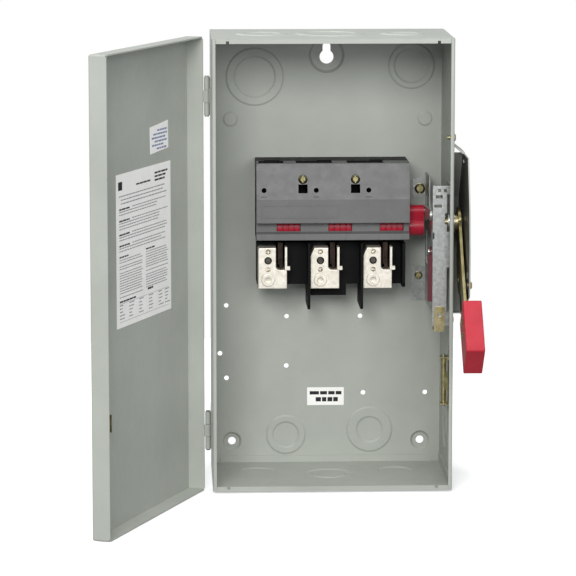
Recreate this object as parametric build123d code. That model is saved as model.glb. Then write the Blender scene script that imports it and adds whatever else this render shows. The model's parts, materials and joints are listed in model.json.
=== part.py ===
from build123d import *
import math
import os

# Three-pole, non-fusible, indoor safety switch (air-conditioning disconnect) in a
# sheet-steel wall case with a side-hinged door and an external swing handle.
#
# Frame: X to the right when facing the switch, +Y into the wall, +Z up.  The front
# is -Y.  Solids are drawn with Z measured from the bottom of the case and lowered
# by LOWER_HOLE_Z when they are written, so the origin ends on the wall plane, half
# way between the two lower mounting holes.

# ---------------------------------------------------------------- driving sizes
CASE_W = 286.0          # case, outside
CASE_H = 540.0
CASE_D = 165.0
SHEET = 1.6             # 16 gauge steel
STAND = 3.0             # dimples hold the back panel this far off the wall
RETURN = 4.5            # inward return along the front edges of the side walls
LOWER_HOLE_Z = 28.0     # height of the lower mounting holes above the case bottom
LOWER_HOLE_X = 117.0    # half their spacing
MOUNT_HOLE_R = 4.8
KEY_Z = 506.0           # keyhole: centre of its round part
KEY_R = 8.5
KEY_SLOT_R = 4.8
KEY_SLOT_TOP = 519.0

DOOR_FLANGE = 20.0      # depth of the door's four flanges behind its inner face
DOOR_GAP_Y = 1.0        # door panel to case front edge
DOOR_X0 = -145.0        # door pan, outside
DOOR_X1 = 146.0
DOOR_Z0 = -2.0
DOOR_Z1 = 542.0
DOOR_OPEN = 112.0       # door position in this model, degrees from closed

PIN_X = -148.5          # hinge pin axis
PIN_Y = -146.0
PIN_R = 1.6
KNUCKLE_R = 3.3
HINGES = ((449.0, 494.0), (48.0, 93.0))

PIVOT_Y = -130.0        # operating shaft axis
PIVOT_Z = 318.6
LEVER_ANGLE = 46.0      # handle below the horizontal when off, above it when on
LEVER_LEN = 167.0       # shaft axis to the middle of the grip
GRIP_L = 72.0
GRIP_W = 49.0
GRIP_T = 22.0
GRIP_X0 = 147.5
GUARD_X = 157.5         # outer face of the handle guard

ROTOR_Y = -50.0         # rotor axis
ROTOR_Z = 303.0
POLES = (-67.0, -3.5, 60.0)      # pole centre lines
BLADE_HALF = 29.0       # blade tip radius
CRANK_R = 11.0          # crank on the operating shaft
ROTOR_CRANK_R = 20.0    # crank on the rotor
HANDLE_THROW = 92.0
ROTOR_RATIO = 0.5       # rotor turn per handle turn
ROTOR_THROW = HANDLE_THROW * ROTOR_RATIO

# ---------------------------------------------------------------- derived planes
W2 = CASE_W / 2
Y_BACK_OUT = -STAND
Y_BACK_IN = -STAND - SHEET
Y_FRONT = -STAND - CASE_D
Y_DOOR_IN = Y_FRONT - DOOR_GAP_Y
Y_DOOR_OUT = Y_DOOR_IN - SHEET
Y_FLANGE = Y_DOOR_IN + DOOR_FLANGE

os.makedirs("parts", exist_ok=True)


# ---------------------------------------------------------------- small helpers
def bx(x0, x1, y0, y1, z0, z1):
    return Pos((x0 + x1) / 2, (y0 + y1) / 2, (z0 + z1) / 2) * Box(
        abs(x1 - x0), abs(y1 - y0), abs(z1 - z0))


def cyx(x0, x1, y, z, r):
    return Pos((x0 + x1) / 2, y, z) * Rot(0, 90, 0) * Cylinder(r, abs(x1 - x0))


def cyy(x, y0, y1, z, r):
    return Pos(x, (y0 + y1) / 2, z) * Rot(90, 0, 0) * Cylinder(r, abs(y1 - y0))


def cyz(x, y, z0, z1, r):
    return Pos(x, y, (z0 + z1) / 2) * Cylinder(r, abs(z1 - z0))


def prism_x(pts, x0, x1):
    face = make_face(Polyline(*[(p[0], p[1]) for p in pts], close=True))
    pl = Plane(origin=(x0, 0, 0), x_dir=(0, 1, 0), z_dir=(1, 0, 0))
    return extrude(pl * face, amount=x1 - x0)


def prism_y(pts, y0, y1):
    face = make_face(Polyline(*[(p[0], p[1]) for p in pts], close=True))
    pl = Plane(origin=(0, y1, 0), x_dir=(1, 0, 0), z_dir=(0, -1, 0))
    return extrude(pl * face, amount=y1 - y0)


def prism_z(pts, z0, z1):
    face = make_face(Polyline(*[(p[0], p[1]) for p in pts], close=True))
    return extrude(Pos(0, 0, z0) * face, amount=z1 - z0)


def inset(pts, d):
    # moves every edge of a closed outline inwards by d
    area2 = sum(p[0] * q[1] - q[0] * p[1] for p, q in zip(pts, pts[1:] + pts[:1]))
    k = 1.0 if area2 > 0 else -1.0
    out = []
    for i, p in enumerate(pts):
        a, b = pts[i - 1], pts[(i + 1) % len(pts)]
        u = Vector(p[0] - a[0], p[1] - a[1]).normalized()
        v = Vector(b[0] - p[0], b[1] - p[1]).normalized()
        m = Vector(-(u.Y + v.Y), u.X + v.X).normalized() * k
        c = m.X * -u.Y * k + m.Y * u.X * k
        out.append((p[0] + m.X * d / c, p[1] + m.Y * d / c))
    return out


def frustum(origin, z_dir, r0, r1, h):
    pl = Plane(origin=origin, z_dir=z_dir)
    return pl * Cone(r0, r1, h, align=(Align.CENTER, Align.CENTER, Align.MIN))


def disc(origin, z_dir, r, h):
    pl = Plane(origin=origin, z_dir=z_dir)
    return pl * Cylinder(r, h, align=(Align.CENTER, Align.CENTER, Align.MIN))


def soft(shape, r, pick):
    # rounds the picked edges, or leaves the shape as it is
    try:
        out = fillet(pick(shape), r)
        return out if out.is_valid else shape
    except Exception:
        return shape


def save(name, *shapes):
    solids = []
    for s in shapes:
        solids.extend(s.solids())
    solids = [s.moved(Location((0, 0, -LOWER_HOLE_Z))) for s in solids]
    item = solids[0] if len(solids) == 1 else Compound(children=solids)
    item.label = name
    export_step(item, "parts/" + name + ".step")
    print(name, len(solids), round(sum(s.volume for s in solids), 1))


# A knockout: a partly sheared disc or ring that stands a little proud of its sheet.
def knock(sheet, centre, z_dir, r_out, r_in=0.0, lift=1.2, slope=2.2):
    c = Vector(*centre)
    n = Vector(*z_dir).normalized()
    up = frustum(tuple(c), tuple(n), r_out, r_out - slope, lift)
    under = c - n * SHEET
    down = frustum(tuple(under), tuple(n), r_out, r_out - slope, lift)
    if r_in:
        up = up - frustum(tuple(c), tuple(n), r_in - slope, r_in, lift)
        down = down - frustum(tuple(under), tuple(n), r_in - slope, r_in, lift)
    return sheet + up - down


# A pan or round screw head with a cross or straight slot, head along z_dir.
def screw(origin, z_dir, r_head, h_head, r_shank, l_shank, slot=1.2, hexagon=False):
    o = Vector(*origin)
    n = Vector(*z_dir).normalized()
    if hexagon:
        pl = Plane(origin=tuple(o), z_dir=tuple(n))
        head = extrude(pl * RegularPolygon(r_head, 6), amount=h_head)
        head = head & frustum(tuple(o), tuple(n), r_head + h_head * 1.2, r_head - 0.6, h_head)
    else:
        head = disc(tuple(o), tuple(n), r_head, h_head * 0.55) + frustum(
            tuple(o + n * (h_head * 0.55)), tuple(n), r_head, r_head * 0.62, h_head * 0.45)
    body = head + disc(tuple(o - n * l_shank), tuple(n), r_shank, l_shank + 0.2)
    if slot:
        pl = Plane(origin=tuple(o + n * (h_head * 0.5)), z_dir=tuple(n))
        body = body - pl * Box(2 * r_head + 2, slot, h_head * 2,
                               align=(Align.CENTER, Align.CENTER, Align.MIN))
    return body


# ================================================================ CASE
# One sheet folded into back, two sides and narrow front returns.
section = fillet(Rectangle(CASE_W, CASE_D).vertices(), 2.2)
core = fillet(Rectangle(CASE_W - 2 * SHEET, CASE_D - 2 * SHEET).vertices(), 0.6)
mouth = Pos(0, -CASE_D / 2) * Rectangle(CASE_W - 2 * RETURN, 12)
wrap2d = section - core - mouth
case_wrap = extrude(Pos(0, (Y_BACK_OUT + Y_FRONT) / 2, 0) * wrap2d, amount=CASE_H)

# dimples that carry the lower mounting holes back to the wall plane
for sx in (-1, 1):
    c = (sx * LOWER_HOLE_X, Y_BACK_OUT, LOWER_HOLE_Z)
    ci = (sx * LOWER_HOLE_X, Y_BACK_IN, LOWER_HOLE_Z)
    case_wrap = case_wrap + frustum(c, (0, 1, 0), 13.0, 10.2, STAND)
    case_wrap = case_wrap - frustum(ci, (0, 1, 0), 11.9, 9.1, STAND)
    case_wrap = case_wrap - cyy(c[0], -10, 5, c[2], MOUNT_HOLE_R)
# upper dimple with the keyhole
case_wrap = case_wrap + frustum((0, Y_BACK_OUT, KEY_Z + 2), (0, 1, 0), 23.0, 20.0, STAND)
case_wrap = case_wrap - frustum((0, Y_BACK_IN, KEY_Z + 2), (0, 1, 0), 21.9, 18.9, STAND)
key = cyy(0, -10, 5, KEY_Z, KEY_R) + bx(-KEY_SLOT_R, KEY_SLOT_R, -10, 5, KEY_Z, KEY_SLOT_TOP) \
    + cyy(0, -10, 5, KEY_SLOT_TOP, KEY_SLOT_R)
case_wrap = case_wrap - key

# knockouts in the back panel: x, z, outer radius, inner radius
for kx, kz, ro, ri in ((-88, 482, 36, 26), (104, 495, 29, 22), (-118, 430, 9.5, 0),
                       (121, 430, 9.5, 0), (-50, 36, 25, 17), (54, 42, 29, 17)):
    case_wrap = knock(case_wrap, (kx, Y_BACK_IN, kz), (0, -1, 0), ro, ri)
# small fixing holes for neutral and ground kits
KIT_HOLES = ((-123.6, 199), (-49, 185), (42, 185), (-131.6, 139), (-123.6, 108),
             (-49.4, 123), (46, 88.5), (123, 88.5))
for hx, hz in KIT_HOLES:
    case_wrap = case_wrap - cyy(hx, -10, 5, hz, 2.9)
# side-wall knockouts, pushed outwards
for sx in (-1, 1):
    case_wrap = knock(case_wrap, (sx * W2, -80, 64), (sx, 0, 0), 30, 20)
# operating-shaft hole, guard screw holes and latch slot in the right wall
case_wrap = case_wrap - cyx(W2 - 6, W2 + 6, PIVOT_Y, PIVOT_Z, 9.0)
GUARD_SCREWS = ((-124.0, 419.0), (-112.0, 197.5))
for gy, gz in GUARD_SCREWS:
    case_wrap = case_wrap - cyx(W2 - 6, W2 + 6, gy, gz, 2.6)
# hinge bolt holes in the left wall
HINGE_BOLT_Y = (-133.0, -119.0)
for z0, z1 in HINGES:
    for hy, hz in ((HINGE_BOLT_Y[0], z0 + 9), (HINGE_BOLT_Y[0], z1 - 9)):
        case_wrap = case_wrap - cyx(-W2 - 6, -W2 + 6, hy, hz, 2.6)
# screw holes of the latch bracket
LATCH_RIVETS = ((-150.0, 95.5), (-150.0, 164.5))
for ly, lz in LATCH_RIVETS:
    case_wrap = case_wrap - cyx(W2 - 6, W2 + 6, ly, lz, 2.1)


# The end walls are shallow trays that sit between the side walls.
def endwall(z_out, up, kos, inner):
    z_in = z_out - up * SHEET
    zf = z_out - up * 14.0
    xi = W2 - SHEET
    w = bx(-xi, xi, Y_FRONT + SHEET, Y_BACK_IN, z_in, z_out)
    w = soft(w, 0.9, lambda s: s.edges().filter_by(Axis.Z))
    w = w + bx(-W2 + RETURN + 0.3, W2 - RETURN - 0.3, Y_FRONT, Y_FRONT + SHEET + 1, z_in, z_out)
    w = w + bx(-W2 + RETURN + 0.3, W2 - RETURN - 0.3, Y_FRONT, Y_FRONT + SHEET, z_out - up * 5.5, z_out)
    for sx in (-1, 1):
        w = w + bx(sx * xi, sx * (xi - SHEET), Y_FRONT + 12, Y_BACK_IN - 8, zf, z_out)
    w = w + bx(-xi + 10, xi - 10, Y_BACK_IN - SHEET, Y_BACK_IN, z_out - up * 9.5, z_out)
    for kx, ky, ro, ri in kos:
        w = knock(w, (kx, ky, z_out), (0, 0, up), ro, ri)
    # small corner notches of the front lip
    for sx in (-1, 1):
        w = w - bx(sx * (W2 - RETURN - 16), sx * (W2 - RETURN - 12.5), Y_FRONT - 1,
                   Y_FRONT + SHEET + 0.01, z_out - up * 2.4, z_out - up * 7)
    return w


top_endwall = endwall(CASE_H, 1, ((-82, -86, 31, 22), (0, -86, 41, 31), (87, -86, 27, 18)), False)
bottom_endwall = endwall(0.0, -1, ((-86, -60, 22, 0), (0, -78, 30, 21), (82, -60, 22, 0)), False)


# ================================================================ HINGES
def hinge_case_leaf(z0, z1):
    third = (z1 - z0) / 3
    leaf = bx(-W2 - SHEET, -W2, PIN_Y + 3.4, PIN_Y + 36, z0, z1)
    for a, b in ((z0, z0 + third - 0.25), (z1 - third + 0.25, z1)):
        leaf = leaf + cyz(PIN_X, PIN_Y, a, b, KNUCKLE_R)
        leaf = leaf + bx(PIN_X + 1.2, -W2, PIN_Y + 1.4, PIN_Y + 3.6, a, b)
    leaf = leaf - cyz(PIN_X, PIN_Y, z0 - 1, z1 + 1, PIN_R + 0.04)
    for hz in (z0 + 9, z1 - 9):
        leaf = leaf - cyx(-W2 - 5, -W2 + 2, HINGE_BOLT_Y[0], hz, 2.6)
    return leaf


def hinge_door_leaf(z0, z1):
    third = (z1 - z0) / 3
    a, b = z0 + third + 0.25, z1 - third - 0.25
    leaf = bx(DOOR_X0 - SHEET, DOOR_X0, Y_DOOR_OUT + 3.0, PIN_Y - 3.6, z0, z1)
    leaf = leaf + bx(DOOR_X0 - SHEET, DOOR_X0, PIN_Y - 3.7, PIN_Y, a, b)
    leaf = leaf + cyz(PIN_X, PIN_Y, a, b, KNUCKLE_R)
    leaf = leaf - cyz(PIN_X, PIN_Y, z0 - 1, z1 + 1, PIN_R + 0.04)
    return leaf


case_leaves = [hinge_case_leaf(*h) for h in HINGES]
door_leaves = [hinge_door_leaf(*h) for h in HINGES]
# pins with a small upset head at each end
hinge_pins = []
for z0, z1 in HINGES:
    hinge_pins.append(cyz(PIN_X, PIN_Y, z0 - 1.2, z1 + 1.2, PIN_R)
                      + cyz(PIN_X, PIN_Y, z0 - 1.6, z0 - 0.1, 2.5)
                      + cyz(PIN_X, PIN_Y, z1 + 0.1, z1 + 1.6, 2.5))
# carriage bolts through the left wall: flat heads inside, nuts outside
case_bolts = []
for z0, z1 in HINGES:
    for hz in (z0 + 9, z1 - 9):
        b = frustum((-W2 + SHEET, HINGE_BOLT_Y[0], hz), (1, 0, 0), 4.6, 3.0, 1.9) \
            + cyx(-W2 - SHEET - 4.6, -W2 + SHEET + 0.4, HINGE_BOLT_Y[0], hz, 2.45)
        nut = extrude(Plane(origin=(-W2 - SHEET, HINGE_BOLT_Y[0], hz), z_dir=(-1, 0, 0))
                      * RegularPolygon(4.6, 6), amount=3.2)
        case_bolts.append(b + nut)


# ================================================================ DOOR
# A pan with four flanges that wrap over the case.
def shut_to_open(s):
    return Pos(PIN_X, PIN_Y, 0) * Rot(0, 0, -DOOR_OPEN) * Pos(-PIN_X, -PIN_Y, 0) * s


door_pan = bx(DOOR_X0, DOOR_X1, Y_DOOR_OUT, Y_FLANGE, DOOR_Z0, DOOR_Z1)
door_pan = soft(door_pan, 2.0, lambda s: s.edges().filter_by(
    lambda e: e.center().Y < Y_DOOR_OUT + 0.01) + s.edges().filter_by(
    lambda e: abs(e.length - (Y_FLANGE - Y_DOOR_OUT)) < 0.01))
door_pan = door_pan - bx(DOOR_X0 + SHEET, DOOR_X1 - SHEET, Y_DOOR_IN, Y_FLANGE + 1,
                         DOOR_Z0 + SHEET, DOOR_Z1 - SHEET)
# corner reliefs of the folded flanges
for cx in (DOOR_X0, DOOR_X1):
    for cz in (DOOR_Z0, DOOR_Z1):
        door_pan = door_pan - cyy(cx, Y_FLANGE - 1.2, Y_FLANGE + 1, cz, 3.0)
# narrow slot near the free edge for a seal or lock
door_pan = door_pan - bx(137.0, 140.0, Y_DOOR_OUT - 1, Y_DOOR_IN + 1, 44, 62)
# rivet holes of the hinge leaves
DOOR_RIVET_Y = Y_DOOR_IN + 10.0
door_rivets = []
for z0, z1 in HINGES:
    for hz in (z0 + 9, z1 - 9):
        hole = cyx(DOOR_X0 - 5, DOOR_X0 + 5, DOOR_RIVET_Y, hz, 2.05)
        door_pan = door_pan - hole
        door_leaves = [l - hole for l in door_leaves]
        r = cyx(DOOR_X0 - SHEET - 0.2, DOOR_X0 + SHEET, DOOR_RIVET_Y, hz, 2.0) \
            + frustum((DOOR_X0 - SHEET, DOOR_RIVET_Y, hz), (-1, 0, 0), 3.7, 2.0, 1.3)
        door_rivets.append(r)
# formed striker on the inside of the free edge, caught by the latch
STRIKER_Z = 130.0
striker = bx(120.0, 132.5, Y_DOOR_IN, Y_DOOR_IN + SHEET, STRIKER_Z - 14, STRIKER_Z + 14) \
    + bx(130.9, 132.5, Y_DOOR_IN, Y_DOOR_IN + 17.0, STRIKER_Z - 10, STRIKER_Z + 10)
striker = striker - bx(128, 135, Y_DOOR_IN + 6.0, Y_DOOR_IN + 12.0, STRIKER_Z - 6.0, STRIKER_Z + 6.0)

# labels
door_front_label = bx(14, 76, Y_DOOR_OUT - 0.3, Y_DOOR_OUT, 281, 459)
inner_u0, inner_u1 = 56.0, 219.0
door_inner_label = bx(DOOR_X0 + inner_u0, DOOR_X0 + inner_u1, Y_DOOR_IN, Y_DOOR_IN + 0.3, 226, 401)
door_small_label = prism_y([(DOOR_X0 + 62, 417), (DOOR_X0 + 117, 414), (DOOR_X0 + 118, 445),
                            (DOOR_X0 + 63, 449)], Y_DOOR_IN, Y_DOOR_IN + 0.3)
back_label = bx(-23.5, 22.1, Y_BACK_IN - 0.3, Y_BACK_IN, 73.0, 95.4)


# ================================================================ SWITCH
LUG_C = (-68.5, -5.0, 59.0)                 # lug centre lines
BLADES_X = tuple(c + 9.5 for c in LUG_C)    # blade planes
BARREL_X = (-49.0, 13.5, 76.0)              # red barrels seen in the shield windows
SB_X0, SB_X1 = -88.0, 97.0
SB_Z1 = 383.0                               # top of the line-side block

# moulded line-side base with one arc chamber per pole
switch_base = bx(SB_X0, SB_X1, -46.0, Y_BACK_IN, 288, SB_Z1)
for a, b in ((-84, -36.5), (-27.5, 27), (36, 90)):
    switch_base = switch_base - bx(a, b, -47, -11, 287, SB_Z1 - 4)
for a, b in ((SB_X0 + 2.6, -83.4), (90, SB_X1 - 2.6)):
    switch_base = switch_base + bx(a, b, -62, -45.5, 290, 318)
switch_base = switch_base - cyx(-84, 90, ROTOR_Y, ROTOR_Z, 17.0)
switch_base = switch_base - cyx(SB_X0 + 2.6, SB_X1 + 1, ROTOR_Y, ROTOR_Z, 7.55)
for c in LUG_C:                             # conductor notches in the top wall
    switch_base = switch_base - bx(c - 9, c + 9, -47, -36, SB_Z1 - 5, SB_Z1 + 1)
for px in (-32.0, 31.5):                    # posts that take the shield screws
    switch_base = switch_base + bx(px - 4, px + 4, -70, -45.5, 358.5, 372)
    switch_base = switch_base - cyy(px, -71, -55, 364, 1.9)

# grey line shield: a one-piece cover with a folded front, windows and wire notches
prof = [(-46, SB_Z1), (-73, SB_Z1), (-83, 340), (-83, 311), (-70.5, 311), (-70.5, 299.5),
        (-77, 297), (-77, 289.5), (-46, 289.5)]
prof_in = [(-45, SB_Z1 - 2.4), (-70.9, SB_Z1 - 2.4), (-80.6, 339.8), (-80.6, 313.4), (-68.1, 313.4),
           (-68.1, 297.8), (-74.6, 295.3), (-74.6, 288), (-45, 288)]
shield = prism_x(prof, SB_X0, SB_X1)
shield = soft(shield, 0.9, lambda s: s.edges().filter_by(Axis.X).filter_by(
    lambda e: e.center().Y < -69))
shield = shield - prism_x(prof_in, SB_X0 + 2.4, SB_X1 - 2.4)
shield = shield - bx(SB_X0 + 2.4, SB_X1 - 2.4, -74.6, -44, 288, 292)
for bc in BARREL_X:                         # windows over the red barrels
    shield = shield - bx(bc - 14.5, bc + 14.5, -72, -67, 299.9, 309.6)
for a, b in ((-85, -55), (-40, 4), (22, 66)):      # conductor notches in the top
    shield = shield - bx(a, b, -70, -44, SB_Z1 - 4, SB_Z1 + 1)
shield = shield - bx(SB_X1 - 3, SB_X1 + 1, ROTOR_Y - 9, -45, ROTOR_Z - 9, ROTOR_Z + 9)


def shield_y(z):                            # front face of the sloped upper panel
    return -73 - 10 * (SB_Z1 - z) / (SB_Z1 - 340.0)


for px in (-32.0, 31.5):                    # screw pockets
    shield = shield - bx(px - 5.6, px + 5.6, -90, -60, 347.5, 358)
    shield = shield - cyy(px, -90, -60, 364, 2.3)
    shield = shield - cyy(px, -90, -74.6, 364, 5.6)
for hx in (-79.0, -16.0, 47.5):             # test-probe holes and their marks
    shield = shield - cyy(hx, -90, -60, 351, 3.0)
    shield = shield - bx(hx - 3.4, hx + 3.4, shield_y(343) - 1, shield_y(343) + 0.8, 342.4, 343.8)
# raised frame around the plain nameplate area of the lower face
shield = shield + (bx(-82, 12, -83.5, -82.8, 317.5, 333.5) - bx(-80.6, 10.6, -85, -82, 318.9, 332.1))
# moulded ribs on the lip
for rx in (-80, -30, 20, 60, 88):
    shield = shield + bx(rx - 0.8, rx + 0.8, -77.6, -76.8, 290.5, 296)

shield_screws = [screw((px, -74.6, 364), (0, -1, 0), 4.6, 3.2, 1.85, 12.0, 1.3)
                 for px in (-32.0, 31.5)]
# steel washers are pressed under the heads of the shield screws
line_lugs, line_lug_screws, line_jaws = [], [], []
for c, p in zip(LUG_C, BLADES_X):
    lug = bx(c - 12, c + 12, -62, -36, 352, 377)
    lug = soft(lug, 1.5, lambda s: s.edges().filter_by(Axis.Z))
    lug = lug - cyz(c, -49, 351, 390, 7.2) - cyy(c, -63, -49, 366, 5.05)
    line_lugs.append(lug)
    s = cyy(c, -65, -57.5, 366, 5.0)
    s = s - extrude(Plane(origin=(c, -65, 366), z_dir=(0, -1, 0)) * RegularPolygon(2.6, 6),
                    amount=-4)
    line_lug_screws.append(s)
    jaw = bx(p - 2.9, p + 2.9, -60, -34, 320.5, 345) \
        - bx(p - 1.7, p + 1.7, -61, -42, 319, 346)
    jaw = jaw + bx(c - 10, p + 2.9, -36, -33, 335, 374)
    jaw = jaw + bx(c - 9, c + 9, -33.2, -11, 352, 362)
    line_jaws.append(jaw)

# rotor: red bar with three barrels, two-finger blades and the crank
rotor_bar = cyx(SB_X0 + 2.8, 98, ROTOR_Y, ROTOR_Z, 7.5)
for bc in BARREL_X:
    b = cyx(bc - 14, bc + 14, ROTOR_Y, ROTOR_Z, 15.5)
    for gx in (-7.0, 0.0, 7.0):
        b = b - (cyx(bc + gx - 1.1, bc + gx + 1.1, ROTOR_Y, ROTOR_Z, 16)
                 - cyx(bc + gx - 1.2, bc + gx + 1.2, ROTOR_Y, ROTOR_Z, 13.2))
    rotor_bar = rotor_bar + b
blades = []
spin = Pos(0, ROTOR_Y, ROTOR_Z) * Rot(ROTOR_THROW, 0, 0) * Pos(0, -ROTOR_Y, -ROTOR_Z)
for p in BLADES_X:
    bl = prism_x([(ROTOR_Y - 4.2, ROTOR_Z - BLADE_HALF + 3), (ROTOR_Y - 2, ROTOR_Z - BLADE_HALF),
                  (ROTOR_Y + 2, ROTOR_Z - BLADE_HALF), (ROTOR_Y + 4.2, ROTOR_Z - BLADE_HALF + 3),
                  (ROTOR_Y + 4.2, ROTOR_Z + BLADE_HALF - 3), (ROTOR_Y + 2, ROTOR_Z + BLADE_HALF),
                  (ROTOR_Y - 2, ROTOR_Z + BLADE_HALF), (ROTOR_Y - 4.2, ROTOR_Z + BLADE_HALF - 3)],
                 p - 1.5, p + 1.5)
    bl = spin * bl
    blades.append(bl)
    rotor_bar = rotor_bar - bl
crank_mid = math.degrees(math.atan2(ROTOR_Y - PIVOT_Y, PIVOT_Z - ROTOR_Z)) + 0.0


def from_front(angle, r):
    # unit direction in the YZ plane: 0 points to the front, 90 points up
    a = math.radians(angle)
    return (-r * math.cos(a), r * math.sin(a))


link_dir = math.degrees(math.atan2(PIVOT_Z - ROTOR_Z, ROTOR_Y - PIVOT_Y))   # rotor to shaft
CRANK_MID = link_dir + 90.0
CRANK_OFF = CRANK_MID - HANDLE_THROW / 2
ROTOR_OFF = CRANK_MID - ROTOR_THROW / 2
ry, rz = from_front(ROTOR_OFF, ROTOR_CRANK_R)
ROTOR_PIN = (ROTOR_Y + ry, ROTOR_Z + rz)
hy_, hz_ = from_front(CRANK_OFF, CRANK_R)
CRANK_PIN = (PIVOT_Y + hy_, PIVOT_Z + hz_)


def slab_x(p0, p1, w, x0, x1):
    # bar with round ends between two points of the YZ plane
    dy, dz = p1[0] - p0[0], p1[1] - p0[1]
    n = math.hypot(dy, dz)
    ny, nz = -dz / n * w, dy / n * w
    body = prism_x([(p0[0] + ny, p0[1] + nz), (p1[0] + ny, p1[1] + nz),
                    (p1[0] - ny, p1[1] - nz), (p0[0] - ny, p0[1] - nz)], x0, x1)
    return body + cyx(x0, x1, p0[0], p0[1], w) + cyx(x0, x1, p1[0], p1[1], w)


rotor_crank = slab_x((ROTOR_Y, ROTOR_Z), ROTOR_PIN, 7.0, 98, 116) + cyx(98, 116, ROTOR_Y, ROTOR_Z, 11.5)
rotor_crank = rotor_crank - bx(103, 111, -90, ROTOR_Y - 12.4, 280, 340)
rotor_pin = cyx(108, 120.6, ROTOR_PIN[0], ROTOR_PIN[1], 3.0)
rotor_crank = rotor_crank - rotor_pin
rotor_bar = rotor_bar + rotor_crank

# load-side base with slots for the blades
load_base = bx(-87, 92, -48, Y_BACK_IN, 232, 286)
load_base = load_base + bx(-21, 22, -48, Y_BACK_IN, 218, 232.5)
for p in BLADES_X:
    load_base = load_base - bx(p - 6.5, p + 6.5, -49, -13, 258, 287)
load_base = load_base - bx(-88, 93, -49, -24, 283.5, 287)
barriers = []
for x0, x1, zb in ((-26.0, -23.0, 205), (38.0, 41.0, 205), (88.6, 92.0, 232)):
    f = bx(x0, x1, -82, -48, zb, 286)
    if zb < 230:
        f = f + bx(x0, x1, -48.2, -12, zb, 232)
    f = soft(f, 6.0, lambda s: s.edges().filter_by(Axis.X).filter_by(
        lambda e: e.center().Y < -81 and e.center().Z < 240))
    barriers.append(f)

load_lugs, set_screws, lug_screws, load_jaws, load_posts = [], [], [], [], []
for i, (c, p) in enumerate(zip(LUG_C, BLADES_X)):
    L, R = c - 17.5, c + 17.5
    cut = 4.5 if i else 1.0
    lug = prism_y([(L, 230), (R, 230), (R, 253), (p - 5.4, 253), (p - 5.4, 280),
                   (L + cut, 280), (L, 280 - 2.2 * cut)], -73, -48)
    lug = soft(lug, 4.4, lambda s: s.edges().filter_by(Axis.Y).filter_by(
        lambda e: abs(e.center().Z - 253) < 0.1 and e.center().X < R - 3))
    lug = soft(lug, 0.8, lambda s: s.faces().sort_by(Axis.Y)[0].edges())
    hx = c - 5.5
    lug = lug - cyz(hx + 3, -59.5, 229, 250, 7.4)
    lug = lug - cyy(hx, -74, -58, 240.5, 8.05)
    lug = lug - cyy(hx, -74, -60, 275.2, 3.2) - cyy(hx, -74, -60, 253.4, 3.0)
    lug = lug - cyy(hx, -74, -47, 264.3, 2.25) - cyy(hx, -74, -70, 264.3, 4.7)
    load_lugs.append(lug)
    ss = cyy(hx, -73.8, -63, 240.5, 8.0)
    ss = soft(ss, 0.9, lambda s: s.faces().sort_by(Axis.Y)[0].edges())
    ss = ss - extrude(Plane(origin=(hx, -73.8, 240.5), z_dir=(0, -1, 0)) * RegularPolygon(4.2, 6),
                      amount=-6)
    set_screws.append(ss)
    lug_screws.append(screw((hx, -70, 264.3), (0, -1, 0), 4.5, 2.6, 2.2, 21.8, 1.2))
    jw = bx(p - 2.9, p + 2.9, -66, -38, 259, 285.5) - bx(p - 1.7, p + 1.7, -57.5, -37, 258, 287)
    jw = jw + bx(p - 0.8, p + 2.9, -66, -57.5, 253.0, 259.2)
    load_jaws.append(jw)
    post = bx(p + 5.4, p + 8.0, -75, -60, 253.0, 281.0) + bx(p + 7.9, p + 11.5, -75, -71, 253.0, 257.6)
    load_posts.append(post)


# ================================================================ OPERATING MECHANISM
xi = W2 - SHEET
frame_web = bx(119.5, xi, -148, -146.4, 196, 364)
frame_web = frame_web + bx(xi - 1.6, xi, -148, -101, 196, 364)
frame_web = frame_web + bx(119.5, 121.1, -148, -133, 271, 295)
for z0, z1, x0, x1 in ((349, 353, 123, 131), (338, 341.5, 121, 130), (356.5, 360.5, 125.5, 129),
                       (356.5, 360.5, 132.5, 136), (212, 266, 136.4, 139.6),
                       (309, 354, 136.4, 139.6)):
    frame_web = frame_web - bx(x0, x1, -150, -145, z0, z1)
frame_web = frame_web - bx(134, 142.5, -149, -145, 318, 331) - bx(118, 121.5, -149, -145, 300, 308)
frame_web = frame_web - cyx(xi - 3, xi + 1, PIVOT_Y, PIVOT_Z, 13.0)
for gy, gz in GUARD_SCREWS:
    frame_web = frame_web - cyx(xi - 3, xi + 1, gy, gz, 4.8)
mechanism_frame = frame_web
# plate and feet that tie the frame to the back panel
foot = bx(122, 123.6, -100, Y_BACK_IN - 1.6, 207, 364)
foot = foot - bx(121, 125, -90, -22, 255, 296) - bx(121, 125, -101, -60, 328, 365) \
    - bx(121, 125, -30, -14, 306, 336)
foot = foot + bx(105, 123.6, Y_BACK_IN - 1.6, Y_BACK_IN, 205, 247)
foot = foot + bx(106.5, 123.6, Y_BACK_IN - 1.6, Y_BACK_IN, 332, 356)
foot = foot + bx(122, xi - 1.6, -101.6, -100, 207, 247)
foot = foot - cyy(114, -10, 0, 236, 2.3) - cyy(115, -10, 0, 344, 2.3)
mechanism_foot = foot
mechanism_screws = [screw((114, Y_BACK_IN - 1.6, 236), (0, -1, 0), 4.8, 3.0, 2.2, 1.6, 1.2),
                    screw((115, Y_BACK_IN - 1.6, 344), (0, -1, 0), 6.4, 4.0, 2.2, 1.6, 1.4)]
# yellow-zinc spring anchor at the lower end of the frame
anchor = bx(121.5, 134.5, -150, -148, 189, 219) + bx(121.5, 134.5, -150, -128, 189, 191.5)
anchor = soft(anchor, 3.0, lambda s: s.edges().filter_by(Axis.Y).filter_by(
    lambda e: e.center().Z > 218))
anchor = anchor - cyy(128, -151, -147, 209, 2.6)
spring_anchor = anchor
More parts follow.
